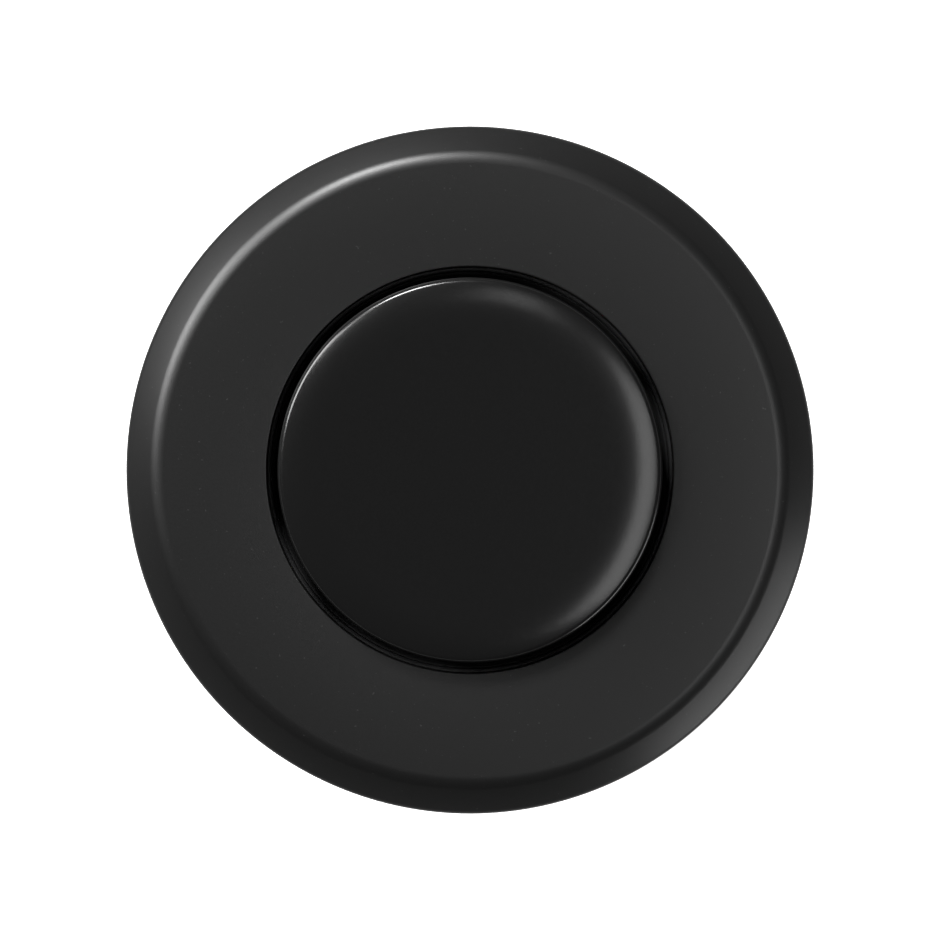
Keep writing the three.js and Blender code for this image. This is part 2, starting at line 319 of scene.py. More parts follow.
def satinCoat():
    coat = {"colour": (0.006, 0.006, 0.006), "speck": (0.03, 0.03, 0.03), "roughness": 0.35,
            "grain": 0.16, "grainDepth": 0.0022, "speckSize": 0.22, "speckFrom": 0.77}
    look = Look("satinBlackCoat", coat["colour"], coat["roughness"])
    fine = look.noise(coat["grain"], 3, 0.6)
    specks = look.noise(coat["speckSize"], 1) > coat["speckFrom"]
    look.colour(look.tint(specks, coat["colour"], coat["speck"]))
    look.roughness(look.spread(fine, coat["roughness"] - 0.05, coat["roughness"] + 0.05))
    look.relief(fine, coat["grainDepth"])
    return look


def glossCoat():
    coat = {"colour": (0.006, 0.006, 0.006), "roughness": 0.17, "peel": 0.9, "peelDepth": 0.0045,
            "grain": 0.14, "grainShare": 0.3}
    look = Look("glossBlackCoat", coat["colour"], coat["roughness"])
    peel = look.noise(coat["peel"], 2)
    fine = look.noise(coat["grain"], 2)
    look.roughness(look.spread(fine, coat["roughness"] - 0.03, coat["roughness"] + 0.06))
    look.relief(peel * (1 - coat["grainShare"]) + fine * coat["grainShare"], coat["peelDepth"])
    return look


def rubber(name, colour, roughness=0.68, grain=0.35, depth=0.006):
    look = Look(name, colour, roughness)
    cloud = look.noise(4.0, 3)
    fine = look.noise(grain, 3, 0.6)
    look.colour(look.tint(cloud, [part * 0.8 for part in colour], [part * 1.25 for part in colour]))
    look.roughness(look.spread(fine, roughness - 0.08, roughness + 0.08))
    look.relief(fine, depth)
    return look


def mouldedNylon():
    nylon = {"colour": (0.014, 0.014, 0.0145), "bloom": (0.024, 0.024, 0.025), "roughness": 0.46,
             "grain": 0.22, "depth": 0.005, "flow": 7.0}
    look = Look("blackNylon", nylon["colour"], nylon["roughness"])
    flow = look.noise(nylon["flow"], 4, 0.55, stretch=(1, 1, 2.5))
    fine = look.noise(nylon["grain"], 3, 0.6)
    look.colour(look.tint(flow, nylon["colour"], nylon["bloom"]))
    look.roughness(look.spread(flow * 0.5 + fine * 0.5, nylon["roughness"] - 0.1, nylon["roughness"] + 0.1))
    look.relief(fine, nylon["depth"])
    return look


def acetal():
    colour = (0.72, 0.70, 0.645)
    look = Look("whiteAcetal", colour, 0.38, subsurface_weight=0.12, subsurface_scale=0.002)
    cloud = look.noise(6.0, 3)
    fine = look.noise(0.3, 2)
    look.colour(look.tint(cloud, [part * 0.95 for part in colour], [part * 1.03 for part in colour]))
    look.roughness(look.spread(fine, 0.32, 0.46))
    look.relief(fine, 0.003)
    return look


def foamTape():
    colour = (0.74, 0.73, 0.69)
    look = Look("foamTape", colour, 0.9)
    cells = look.noise(0.18, 2)
    look.colour(look.tint(cells, [part * 0.82 for part in colour], colour))
    look.relief(cells, 0.03)
    return look


def springSteel():
    look = Look("springSteel", (0.56, 0.57, 0.58), 0.24, metallic=1.0)
    drawn = look.noise(0.25, 3, 0.6)
    look.roughness(look.spread(drawn, 0.16, 0.34))
    look.relief(drawn, 0.0015)
    return look


def zincSteel():
    look = Look("zincSteel", (0.60, 0.61, 0.62), 0.3, metallic=1.0)
    bloom = look.noise(2.2, 4, 0.6)
    scratch = look.noise(0.3, 3, 0.7, stretch=(6, 1, 1))
    look.colour(look.tint(bloom, (0.50, 0.51, 0.53), (0.68, 0.68, 0.67)))
    look.roughness(look.spread(scratch, 0.2, 0.46))
    look.relief(scratch, 0.002)
    return look


def turnedBrass():
    look = Look("turnedBrass", (0.74, 0.54, 0.25), 0.22, metallic=1.0)
    marks = look.noise(0.16, 3, 0.6, stretch=(40, 40, 1))
    bloom = look.noise(3.0, 3)
    look.colour(look.tint(bloom, (0.64, 0.44, 0.19), (0.80, 0.60, 0.30)))
    look.roughness(look.spread(marks, 0.14, 0.36))
    look.relief(marks, 0.002)
    return look


satin = satinCoat()
gloss = glossCoat()
blackRubber = rubber("blackRubber", (0.012, 0.012, 0.0125))
greyRubber = rubber("greyRubber", (0.065, 0.067, 0.070))
paleRubber = rubber("paleRubber", (0.46, 0.50, 0.51), roughness=0.45, grain=0.5, depth=0.003)
nylon = mouldedNylon()
whiteAcetal = acetal()
foam = foamTape()
steel = springSteel()
zinc = zincSteel()
brass = turnedBrass()
print("materials made:", len(bpy.data.materials))


# above the worktop

plate = {"bevelWidth": 2.3, "bevelDrop": 1.8, "shoulderCut": 0.6, "rimCut": 0.32, "openingCut": 0.12,
         "thickness": 1.6, "rimWall": 2.1, "neckWall": 1.45, "neckDrop": 2.6, "steps": 256}


def makePlate():
    size = measured("trim_flange")
    top, outer, inner = size["top"], size["outer"], size["inner"]
    under = top - plate["thickness"]
    rimInside = outer - plate["rimWall"]
    neck = inner + plate["neckWall"]
    corners = [
        (inner, top - plate["neckDrop"], 0.2),
        (neck, top - plate["neckDrop"], 0.3),
        (neck, under, 0.5),
        (rimInside, under, 0.9),
        (rimInside, size["bottom"], 0.2),
        (outer, size["bottom"], 0.2),
        (outer, top - plate["bevelDrop"], plate["rimCut"]),
        (outer - plate["bevelWidth"], top, plate["shoulderCut"]),
        (inner, top, plate["openingCut"]),
    ]
    return finishPiece(turned("trimPlate", corners, plate["steps"], segments=8), "trim_flange", satin)


button = {"wall": 0.85, "domeDrop": 0.10, "rollStart": 10.0, "rollDrop": 0.36, "rollPower": 3,
          "edgeCut": 0.35, "points": 26, "steps": 256}


def crownHeight(radius, outer, top):
    # a shallow dome whose shoulder rolls over towards the edge
    roll = max(0.0, (radius - button["rollStart"]) / (outer - button["rollStart"]))
    return top - button["domeDrop"] * (radius / outer) ** 2 - button["rollDrop"] * roll ** button["rollPower"]


def makeButton():
    size = measured("button_cap")
    top, outer, bottom = size["top"], size["outer"], size["bottom"]
    inside = outer - button["wall"]
    crown = [outer * math.sin(math.pi / 2 * i / button["points"]) for i in range(button["points"])]
    # the crown stops short of the rounded edge, which needs that room
    edge = outer - button["edgeCut"]
    corners = [(radius, crownHeight(radius, outer, top)) for radius in crown if radius < edge]
    corners += [
        (outer, crownHeight(outer, outer, top), button["edgeCut"]),
        (outer, bottom, 0.15),
        (inside, bottom, 0.15),
        (inside, top - button["wall"] - button["rollDrop"], 0.6),
        (0, top - button["wall"]),
    ]
    piece = turned("pushButton", corners, button["steps"], closed=False, segments=8)
    return finishPiece(piece, "button_cap", gloss)


def roundRing(name, node, look, flash=0.03, sides=24):
    # a moulded ring of round section with a fine parting line round its inside and outside
    size = measured(node)
    section = (size["top"] - size["bottom"]) / 2
    middle = (size["inner"] + size["outer"]) / 2
    height = (size["top"] + size["bottom"]) / 2
    corners = []
    for i in range(sides):
        angle = 2 * math.pi * i / sides
        reach = section + (flash if i in (0, sides // 2) else 0)
        corners.append((middle + reach * math.cos(angle), height + reach * math.sin(angle)))
    return finishPiece(turned(name, corners, 128), node, look, smoothUnder=50)


def makeFlangeGasket():
    # flat seal with two sealing beads on its upper face
    gasket = {"bead": 0.18, "beadWidth": 0.7, "beads": (0.3, 0.7), "edgeCut": 0.25}
    size = measured("flange_gasket")
    level = size["top"] - gasket["bead"]
    corners = [(size["inner"], size["bottom"], gasket["edgeCut"]),
               (size["outer"], size["bottom"], gasket["edgeCut"]),
               (size["outer"], level, gasket["edgeCut"])]
    for share in reversed(gasket["beads"]):
        middle = size["inner"] + share * (size["outer"] - size["inner"])
        half = gasket["beadWidth"] / 2
        corners += [(middle + half, level), (middle, size["top"], 0.2), (middle - half, level)]
    corners.append((size["inner"], level, gasket["edgeCut"]))
    return finishPiece(turned("flangeGasket", corners), "flange_gasket", blackRubber)


def makeWiper():
    wiper = {"lipThickness": 0.3, "heelFrom": 0.35, "cut": 0.12}
    size = measured("wiper_ring")
    middle = (size["top"] + size["bottom"]) / 2
    heel = size["inner"] + wiper["heelFrom"]
    corners = [
        (heel, size["bottom"], wiper["cut"]),
        (size["outer"], size["bottom"], wiper["cut"]),
        (size["outer"], size["top"], wiper["cut"]),
        (heel, size["top"], wiper["cut"]),
        (size["inner"], middle + wiper["lipThickness"] / 2, 0.08),
        (size["inner"], middle - wiper["lipThickness"] / 2, 0.08),
    ]
    return finishPiece(turned("wiperRing", corners), "wiper_ring", blackRubber)


makePlate()
makeButton()
roundRing("trimRing", "trim_o_ring", blackRubber)
makeFlangeGasket()
makeWiper()
print("plate, button and seals above the worktop made")


# inside the shank

def makeTape():
    # foam disc, a little swollen at its edge, squeezed up to the cap
    tape = {"gap": 0.02, "bulge": 0.15}
    size = measured("cap_tape")
    top = measured("button_cap")["top"] - button["wall"] - tape["gap"]
    middle = (size["bottom"] + top) / 2
    flat = size["outer"] - tape["bulge"]
    corners = [(0, size["bottom"]), (flat, size["bottom"], 0.1), (size["outer"], middle, 0.15),
               (flat, top, 0.1), (0, top)]
    return finishPiece(turned("capTape", corners, 96, closed=False), "cap_tape", foam)


plungerShape = {"headRadius": 13.1, "waist": 12.4, "groove": 12.9, "inside": 11.0, "headBottom": 7.0,
                "headUnder": 2.2, "sealTop": 0.5, "sealBottom": -1.5, "guideBottom": -3.2, "footHeight": 4.0,
                "stem": 3.0, "ribThickness": 1.2, "ribHeight": 12.0, "cut": 0.25}


def makePlunger():
    shape = plungerShape
    size = measured("plunger")
    guide, foot, top, cut = size["outer"], size["bottom"], size["top"], shape["cut"]
    corners = [
        (0, shape["headBottom"]),
        (shape["inside"], shape["headBottom"], 0.8),
        (shape["inside"], foot, cut),
        (guide, foot, cut),
        (guide, foot + shape["footHeight"], cut),
        (shape["waist"], foot + shape["footHeight"], 0.4),
        (shape["waist"], shape["guideBottom"], 0.4),
        (guide, shape["guideBottom"], cut),
        (guide, shape["sealBottom"], 0.12),
        (shape["groove"], shape["sealBottom"], 0.12),
        (shape["groove"], shape["sealTop"], 0.12),
        (guide, shape["sealTop"], 0.12),
        (guide, shape["headUnder"], cut),
        (shape["headRadius"], shape["headUnder"], cut),
        (shape["headRadius"], top, 0.4),
        (0, top),
    ]
    piece = turned("plungerSlide", corners, 128, closed=False)
    stemTop = shape["headBottom"] + 0.5
    corners = [(0, foot), (shape["stem"], foot, 0.4), (shape["stem"], stemTop), (0, stemTop)]
    stem = turned("stem", corners, 64, closed=False)
    piece = combine(piece, stem, "UNION")
    ribMiddle = stemTop - shape["ribHeight"] / 2
    ribLength = 2 * shape["inside"] + 1
    for turn in (0, math.pi / 2):
        rib = box("rib", ribLength, shape["ribThickness"], shape["ribHeight"], 0, ribMiddle, 0.15)
        rib.rotation_euler.z = turn
        bpy.ops.object.transform_apply(rotation=True)
        piece = combine(piece, rib, "UNION")
    return finishPiece(piece, "plunger", whiteAcetal)


threadForm = {"pitch": 1.5, "depth": 0.88, "rootFlat": 0.26, "crestFlat": 0.24, "cut": 0.07, "steps": 96,
              "play": 0.12}


def threadSheet(name, crest, bottom, top, limit):
    # one pitch of the thread, carried up in a right-hand helix, then cut level at both ends.
    # It starts at a whole pitch, so that the nut's thread and the shank's are in step.
    pitch = threadForm["pitch"]
    root = crest - threadForm["depth"]
    start = (math.floor(bottom / pitch) - 1) * pitch
    turns = math.ceil((top - start) / pitch) + 1
    half = threadForm["rootFlat"] / 2
    flank = (pitch - threadForm["rootFlat"] - threadForm["crestFlat"]) / 2
    corners = [
        (root, start),
        (root, start + half, threadForm["cut"]),
        (crest, start + half + flank, threadForm["cut"]),
        (crest, start + half + flank + threadForm["crestFlat"], threadForm["cut"]),
        (root, start + pitch - half, threadForm["cut"]),
        (root, start + pitch),
    ]
    sheet = drawOutline(name, corners, closed=False, segments=1)
    objectMode()
    bpy.ops.object.modifier_add(type="SCREW")
    screw = sheet.modifiers[-1]
    screw.axis = "Z"
    screw.angle = 2 * math.pi
    screw.screw_offset = pitch * mm
    screw.iterations = turns
    screw.steps = screw.render_steps = threadForm["steps"]
    bpy.ops.object.modifier_apply(modifier=screw.name)
    for vertex in sheet.data.vertices:
        height = min(max(vertex.co.z / mm, bottom), top)
        radius = math.hypot(vertex.co.x, vertex.co.y) / mm
        scale = limit(radius, height) / radius
        vertex.co.x *= scale
        vertex.co.y *= scale
        vertex.co.z = height * mm
    editMode()
    return closeUp(sheet)


def ramp(height, edge, slope):
    return max(0.0, (height - edge) * slope)


barrelShape = {"crest": 16.95, "relief": 15.995, "threadTop": -2.5, "threadBottom": -50.8, "runOut": 0.9,
               "headHeight": 2.8, "headRing": 21.5, "collar": 16.9, "collarHeight": 0.7, "tail": 15.9,
               "wiperGroove": 15.75, "stopGroove": 15.35, "windowBottom": -58.9, "windowTop": -55.9,
               "windowSteps": 3, "windows": 3, "cut": 0.25}


def makeBarrel():
    shape = barrelShape
    size = measured("barrel")
    bore, head, top, bottom, cut = size["inner"], size["outer"], size["top"], size["bottom"], shape["cut"]
    wiper, stop, gasket = measured("wiper_ring"), measured("stop_ring"), measured("flange_gasket")
    headTop = gasket["top"] + shape["headHeight"]
    ringBottom, ringTop = gasket["top"] + 0.5, headTop - 0.5
    sheetTop = shape["threadTop"] + shape["runOut"]
    sheetBottom = shape["threadBottom"] - 1.0
    corners = [
        (shape["relief"], sheetTop),
        (shape["relief"], gasket["top"], 0.3),
        (head, gasket["top"], cut),
        (head, ringBottom, 0.12),
        (shape["headRing"], ringBottom, 0.12),
        (shape["headRing"], ringTop, 0.12),
        (head, ringTop, 0.12),
        (head, headTop, cut),
        (shape["collar"], headTop, 0.2),
        (shape["collar"], headTop + shape["collarHeight"], cut),
        (bore, headTop + shape["collarHeight"], 0.2),
        (bore, wiper["top"] + 0.05, 0.08),
        (shape["wiperGroove"], wiper["top"] + 0.05, 0.08),
        (shape["wiperGroove"], wiper["bottom"] - 0.05, 0.08),
        (bore, wiper["bottom"] - 0.05, 0.08),
        (bore, stop["top"] + 0.05, 0.08),
        (shape["stopGroove"], stop["top"] + 0.05, 0.08),
        (shape["stopGroove"], stop["bottom"] - 0.05, 0.08),
        (bore, stop["bottom"] - 0.05, 0.08),
        (bore, shape["windowTop"]),
        (bore, shape["windowBottom"]),
        (bore, bottom, 0.2),
        (shape["tail"], bottom, 0.4),
        (shape["tail"], shape["windowBottom"]),
        (shape["tail"], shape["windowTop"]),
        (shape["tail"], sheetBottom),
    ]
    steps = threadForm["steps"]
    piece = turned("threadedShank", corners, steps, closed=False)

    upperSlope = (shape["crest"] - shape["relief"]) / shape["runOut"]

    def trimmed(radius, height):
        # the crests run out into the relief at the top and into the tail at the bottom
        upper = shape["crest"] - ramp(height, shape["threadTop"], upperSlope)
        lower = shape["crest"] - ramp(-height, -shape["threadBottom"], shape["crest"] - shape["tail"])
        return min(radius, upper, lower)

    sheet = threadSheet("shankThread", shape["crest"], sheetBottom, sheetTop, trimmed)
    piece = joined(piece, sheet)
    halfWindow = (shape["windowSteps"] - 0.4) * 2 * math.pi / steps
    middleHeight = (shape["windowTop"] + shape["windowBottom"]) / 2
    editMode()
    for i in range(shape["windows"]):
        turn = 2 * math.pi * i / shape["windows"]

        def inWindow(face):
            middle = face.calc_center_median()
            off = math.remainder(math.atan2(middle.y, middle.x) - turn, 2 * math.pi)
            upright = abs(face.normal.z) < 0.1
            return upright and abs(off) < halfWindow and abs(middle.z / mm - middleHeight) < 1.4

        pick(piece, "FACE", inWindow)
        bpy.ops.mesh.bridge_edge_loops()
    closeUp(piece)
    return finishPiece(piece, "barrel", nylon)


def makeStopRing():
    # open snap ring with bevelled ends
    ring = {"gap": 5.0, "steps": 120, "cut": 0.12}
    size = measured("stop_ring")
    middle = (size["inner"] + size["outer"]) / 2
    away = math.asin(ring["gap"] / 2 / middle)
    corners = [(size["inner"], size["bottom"]), (size["outer"], size["bottom"]),
               (size["outer"], size["top"]), (size["inner"], size["top"])]
    piece = drawOutline("snapRing", corners)
    spinRound(piece, ring["steps"], 2 * math.pi - 2 * away)
    bpy.ops.mesh.select_all(action="SELECT")
    bpy.ops.mesh.remove_doubles(threshold=tiny)
    for end in (0, 2 * away):  # the spin runs clockwise, so the gap opens the other way
        def atEnd(vertex):
            return abs(math.remainder(math.atan2(vertex.co.y, vertex.co.x) - end, 2 * math.pi)) < 1e-4

        pick(piece, "VERT", atEnd)
        bpy.ops.mesh.edge_face_add()
    closeUp(piece)
    piece.rotation_euler.z = -away
    bpy.ops.object.transform_apply(rotation=True)
    editMode()
    pick(piece, "EDGE", lambda edge: edge.calc_face_angle(0) > math.radians(50))
    bpy.ops.mesh.bevel(offset=ring["cut"] * mm, segments=2, affect="EDGES")
    closeUp(piece)
    return finishPiece(piece, "stop_ring", steel)


springShape = {"wire": 0.6, "coilRadius": 12.95, "coils": 8, "ground": 0.35, "steps": 72, "sides": 14}


def makeSpring():
    # round wire in a helix with one closed turn at each end, the ends ground flat
    shape = springShape
    size = measured("return_spring")
    bottom, top, wire, coils = size["bottom"], size["top"], shape["wire"], shape["coils"]
    low = bottom + wire - shape["ground"]
    high = top - wire + shape["ground"]
    closedPitch = 2 * wire + 0.06
    openPitch = (high - low - 2 * closedPitch) / (coils - 2)
    bpy.ops.object.select_all(action="DESELECT")
    bpy.ops.mesh.primitive_circle_add(
        vertices=shape["sides"], radius=wire * mm, rotation=(math.pi / 2, 0, 0),
        location=(shape["coilRadius"] * mm, 0, 0))
    piece = settle(bpy.context.object)
    piece.name = piece.data.name = "returnCoil"
    bpy.ops.object.modifier_add(type="SCREW")
    screw = piece.modifiers[-1]
    screw.axis = "Z"
    screw.screw_offset = openPitch * mm
    screw.iterations = coils
    screw.steps = screw.render_steps = shape["steps"]
    bpy.ops.object.modifier_apply(modifier=screw.name)
    rows = coils * shape["steps"] + 1
    perRow = len(piece.data.vertices) // rows
    for i, vertex in enumerate(piece.data.vertices):
        turn = (i // perRow) / shape["steps"]
        openTurns = min(max(turn - 1, 0), coils - 2)
        rise = openTurns * openPitch + (turn - openTurns) * closedPitch
        level = vertex.co.z / mm - turn * openPitch
        vertex.co.z = min(max(low + rise + level, bottom), top) * mm
    editMode()
    bpy.ops.mesh.select_mode(type="EDGE")
    bpy.ops.mesh.select_all(action="DESELECT")
    bpy.ops.mesh.select_non_manifold()
    bpy.ops.mesh.edge_face_add()
    closeUp(piece)
    finishPiece(piece, "return_spring", steel, smoothUnder=45)
    return piece


def makePushPlate():
    # disc with a shallow seat for the stem
    seat = {"radius": 3.3, "depth": 0.35, "cut": 0.2}
    size = measured("push_plate")
    corners = [(0, size["bottom"]),
               (size["outer"], size["bottom"], seat["cut"]), (size["outer"], size["top"], seat["cut"]),
               (seat["radius"], size["top"], 0.12), (seat["radius"], size["top"] - seat["depth"], 0.12),
               (0, size["top"] - seat["depth"])]
    return finishPiece(turned("pushDisc", corners, 96, closed=False), "push_plate", whiteAcetal)


bellowsShape = {"folds": 7, "crest": 10.8, "valley": 8.2, "wall": 0.75, "foot": 1.0, "footHole": 3.6,
                "perFold": 10, "neck": 1.2, "steps": 96}


def makeBellows():
    # folded chamber, closed at its top, with a flat foot
    shape = bellowsShape
    size = measured("bellows")
    wall, valley = shape["wall"], shape["valley"]
    footTop = size["bottom"] + shape["foot"]
    low, high = footTop + shape["neck"], size["top"] - shape["neck"]
    middle, swing = (shape["crest"] + valley) / 2, (shape["crest"] - valley) / 2
    count = shape["folds"] * shape["perFold"]
    outside, inside = [], []
    for i in range(count + 1):
        height = low + (high - low) * i / count
        wave = -math.cos(2 * math.pi * i / shape["perFold"])
        outside.append((middle + swing * wave, height))
        inside.append((middle + swing * wave * 0.92 - wall, height))
    corners = [
        (shape["footHole"], size["bottom"], 0.1),
        (size["outer"], size["bottom"], 0.2),
        (size["outer"], footTop, 0.2),
        (valley, footTop, 0.3),
        *outside,
        (valley, size["top"], 0.4),
        (0, size["top"]),
        (0, size["top"] - wall),
        (valley - wall, size["top"] - wall, 0.2),
        *reversed(inside),
        (shape["footHole"], footTop, 0.1),
    ]
    split = corners.index((0, size["top"]))
    ordered = corners[split + 1:] + corners[:split + 1]
    piece = turned("airBellows", ordered, shape["steps"], closed=False)
    return finishPiece(piece, "bellows", paleRubber, smoothUnder=50)


def makeSpringSeat():
    # pressed ring with a low raised bead for the coil to sit against
    seat = {"cut": 0.25, "bead": 11.6, "beadWidth": 0.9, "beadHeight": 0.28}
    size = measured("spring_seat")
    level = size["top"] - seat["beadHeight"]
    half = seat["beadWidth"] / 2
    corners = [(size["inner"], size["bottom"], seat["cut"]), (size["outer"], size["bottom"], seat["cut"]),
               (size["outer"], level, seat["cut"]), (seat["bead"] + half, level, 0.12),
               (seat["bead"], size["top"], 0.2), (seat["bead"] - half, level, 0.12),
               (size["inner"], level, seat["cut"])]
    return finishPiece(turned("springSeat", corners), "spring_seat", zinc)


makeTape()
makePlunger()
roundRing("plungerSeal", "plunger_seal", blackRubber)
makeBarrel()
makeStopRing()
coil = makeSpring()
makePushPlate()
chamber = makeBellows()
makeSpringSeat()
print("shank and the parts inside it made")


# the lower end

capShape = {"floor": -52.0, "boss": 6.5, "hollow": 12.4, "plug": 14.55, "groove": 13.1, "grooveTop": -49.0,
            "grooveBottom": -51.0, "rimTop": -60.3, "ribs": 6, "ribThickness": 1.2, "ribHeight": 9.5,
            "ribLength": 7, "hooks": 3, "hookWidth": 5.4, "hookHeight": 2.4, "hookMiddle": -57.4,
            "hookDepth": 1.6, "hookProud": 0.2, "cut": 0.25}


def makeBaseCap():
    shape = capShape
    size = measured("base_cap")
    hole, rim, bottom, top, cut = size["inner"], size["outer"], size["bottom"], size["top"], shape["cut"]
    corners = [
        (hole, top, cut),
        (hole, bottom, cut),
        (shape["boss"], bottom, cut),
        (shape["boss"], shape["floor"], 0.6),
        (shape["hollow"], shape["floor"], 0.6),
        (shape["hollow"], bottom, cut),
        (rim, bottom, 0.5),
        (rim, shape["rimTop"], cut),
        (shape["plug"], shape["rimTop"], 0.15),
        (shape["plug"], shape["grooveBottom"], 0.12),
        (shape["groove"], shape["grooveBottom"], 0.12),
        (shape["groove"], shape["grooveTop"], 0.12),
        (shape["plug"], shape["grooveTop"], 0.12),
        (shape["plug"], top, 0.4),
    ]
    piece = turned("baseCap", corners)
    ribMiddle = shape["floor"] - (shape["ribHeight"] - 0.5) / 2
    ribs = box("capRibs", shape["ribLength"], shape["ribThickness"], shape["ribHeight"],
               (shape["boss"] + shape["hollow"]) / 2, ribMiddle, 0.15)
    piece = combine(piece, copiesRound(ribs, shape["ribs"]), "UNION")
    hooks = box("capHooks", shape["hookDepth"], shape["hookWidth"], shape["hookHeight"],
                shape["plug"] + shape["hookProud"], shape["hookMiddle"], 0.25)
    piece = combine(piece, copiesRound(hooks, shape["hooks"]), "UNION")
    return finishPiece(piece, "base_cap", nylon)


def makeBarbWasher():
    size = measured("barb_washer")
    corners = [(size["inner"], size["bottom"], 0.15), (size["outer"], size["bottom"], 0.2),
               (size["outer"], size["top"], 0.2), (size["inner"], size["top"], 0.15)]
    return finishPiece(turned("barbWasher", corners, 96), "barb_washer", blackRubber)


barbShape = {"stem": 3.1, "root": 2.2, "ridge": 2.85, "mouth": 2.0, "hexHeight": 4.4, "hexFlats": 12.0,
             "ridges": 3, "ridgePitch": 3.6, "neck": 2.2, "ridgeSlope": 2.2, "ridgeLand": 0.4,
             "chamfer": 0.55, "core": 5.6, "coreTop": 5.4, "hexBore": 4.2, "steps": 96}


def makeHoseBarb():
    shape = barbShape
    size = measured("hose_barb")
    bore, top, tip = size["inner"], size["top"], size["bottom"]
    hexTop = measured("barb_washer")["bottom"] - 0.1
    hexBottom = hexTop - shape["hexHeight"]
    corners = [(bore, top, 0.12), (bore, tip, 0.2), (shape["mouth"], tip, 0.15)]
    for i in reversed(range(shape["ridges"])):
        ridge = hexBottom - shape["neck"] - i * shape["ridgePitch"]
        corners += [(shape["root"], ridge - shape["ridgeLand"] - shape["ridgeSlope"]),
                    (shape["ridge"], ridge - shape["ridgeLand"], 0.08),
                    (shape["ridge"], ridge, 0.08), (shape["root"], ridge, 0.12)]
    corners += [
        (shape["root"], hexBottom - 0.01, 0.15),
        (shape["core"], hexBottom - 0.01, 0.1),
        (shape["core"], hexBottom + 1.0),
        (shape["core"], hexTop - 1.0),
        (shape["coreTop"], hexTop, 0.1),
        (shape["stem"], hexTop, 0.2),
        (shape["stem"], top, 0.25),
    ]
    piece = turned("hoseBarb", corners, shape["steps"])
    flats = hexBar("barbHex", shape["hexFlats"], hexBottom, hexTop, 0.12)
    corner = shape["hexFlats"] / math.sqrt(3)
    faceEdge = corner - shape["chamfer"] - 0.3
    cone = [(0, hexBottom), (faceEdge, hexBottom), (corner, hexBottom + shape["chamfer"]),
            (corner, hexTop - shape["chamfer"]), (faceEdge, hexTop), (0, hexTop)]
    flats = combine(flats, turned("hexChamfer", cone, shape["steps"], closed=False), "INTERSECT")
    corners = [(0, hexBottom - 1), (shape["hexBore"], hexBottom - 1),
               (shape["hexBore"], hexTop + 1), (0, hexTop + 1)]
    flats = combine(flats, turned("hexHole", corners, 48, closed=False), "DIFFERENCE")
    piece = combine(piece, flats, "UNION")
    return finishPiece(piece, "hose_barb", brass, smoothUnder=30)


makeBaseCap()
roundRing("baseSeal", "base_seal", blackRubber)
makeBarbWasher()
makeHoseBarb()
print("base cap and hose barb made")


# the clamp under the worktop

def makeClampGasket():
    # thick seal with shallow grip grooves in its upper face
    gasket = {"groove": 0.3, "grooves": (0.25, 0.5, 0.75), "grooveWidth": 0.5, "edgeCut": 0.3}
    size = measured("clamp_gasket")
    corners = [(size["inner"], size["bottom"], gasket["edgeCut"]),
               (size["outer"], size["bottom"], gasket["edgeCut"]),
               (size["outer"], size["top"], gasket["edgeCut"])]
    half = gasket["grooveWidth"] / 2
    for share in reversed(gasket["grooves"]):
        middle = size["inner"] + share * (size["outer"] - size["inner"])
        corners += [(middle + half, size["top"], 0.08), (middle, size["top"] - gasket["groove"]),
                    (middle - half, size["top"], 0.08)]
    corners.append((size["inner"], size["top"], gasket["edgeCut"]))
    return finishPiece(turned("clampGasket", corners), "clamp_gasket", greyRubber)


def makeSlipWasher():
    # stamped ring: rolled edge above, sharper below
    size = measured("slip_washer")
    corners = [(size["inner"], size["bottom"], 0.08), (size["outer"], size["bottom"], 0.08),
               (size["outer"], size["top"], 0.35), (size["inner"], size["top"], 0.3)]
    return finishPiece(turned("slipWasher", corners), "slip_washer", zinc)


nutShape = {"flats": 40.0, "flangeHeight": 2.2, "hexRadius": 23.1, "chamferWidth": 1.4, "chamferHeight": 0.9,
            "cornerCut": 0.5, "mouth": 0.75, "cut": 0.3}


def makeNut():
    shape = nutShape
    size = measured("lock_nut")
    top, bottom, flange = size["top"], size["bottom"], size["outer"]
    flangeBottom = top - shape["flangeHeight"]
    steps = threadForm["steps"]
    crest = barrelShape["crest"] + threadForm["play"]
    piece = hexBar("lockNut", shape["flats"], bottom, top - 0.5, shape["cornerCut"])
    cone = [(0, bottom), (shape["hexRadius"] - shape["chamferWidth"], bottom),
            (shape["hexRadius"], bottom + shape["chamferHeight"]), (shape["hexRadius"], top), (0, top)]
    piece = combine(piece, turned("nutChamfer", cone, 128, closed=False), "INTERSECT")
    rim = [(0, flangeBottom), (flange, flangeBottom, shape["cut"]), (flange, top, shape["cut"]), (0, top)]
    piece = combine(piece, turned("nutFlange", rim, 128, closed=False), "UNION")
    corners = [(0, bottom - 1), (crest, bottom - 1), (crest, top + 1), (0, top + 1)]
    piece = combine(piece, turned("nutHole", corners, steps, closed=False), "DIFFERENCE")
    editMode()

    def onBore(face):
        return all(abs(math.hypot(v.co.x, v.co.y) / mm - crest) < 0.01 for v in face.verts)

    pick(piece, "FACE", onBore)
    bpy.ops.mesh.delete(type="FACE")
    objectMode()

    def opened(radius, height):
        # both mouths flare out to the full thread radius
        mouth = crest - min(height - bottom, top - height) * threadForm["depth"] / shape["mouth"]
        return max(radius, mouth)

    piece = joined(piece, threadSheet("nutThread", crest, bottom, top, opened))
    return finishPiece(piece, "lock_nut", nylon, smoothUnder=25)  # keeps the chamfer crisp


makeClampGasket()
makeSlipWasher()
makeNut()
print("clamp made")


# the coil and the bellows each get a mesh of their own
def squashWithButton(piece):
    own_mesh(piece)


squashWithButton(coil)
squashWithButton(chamber)


# floor, light and camera

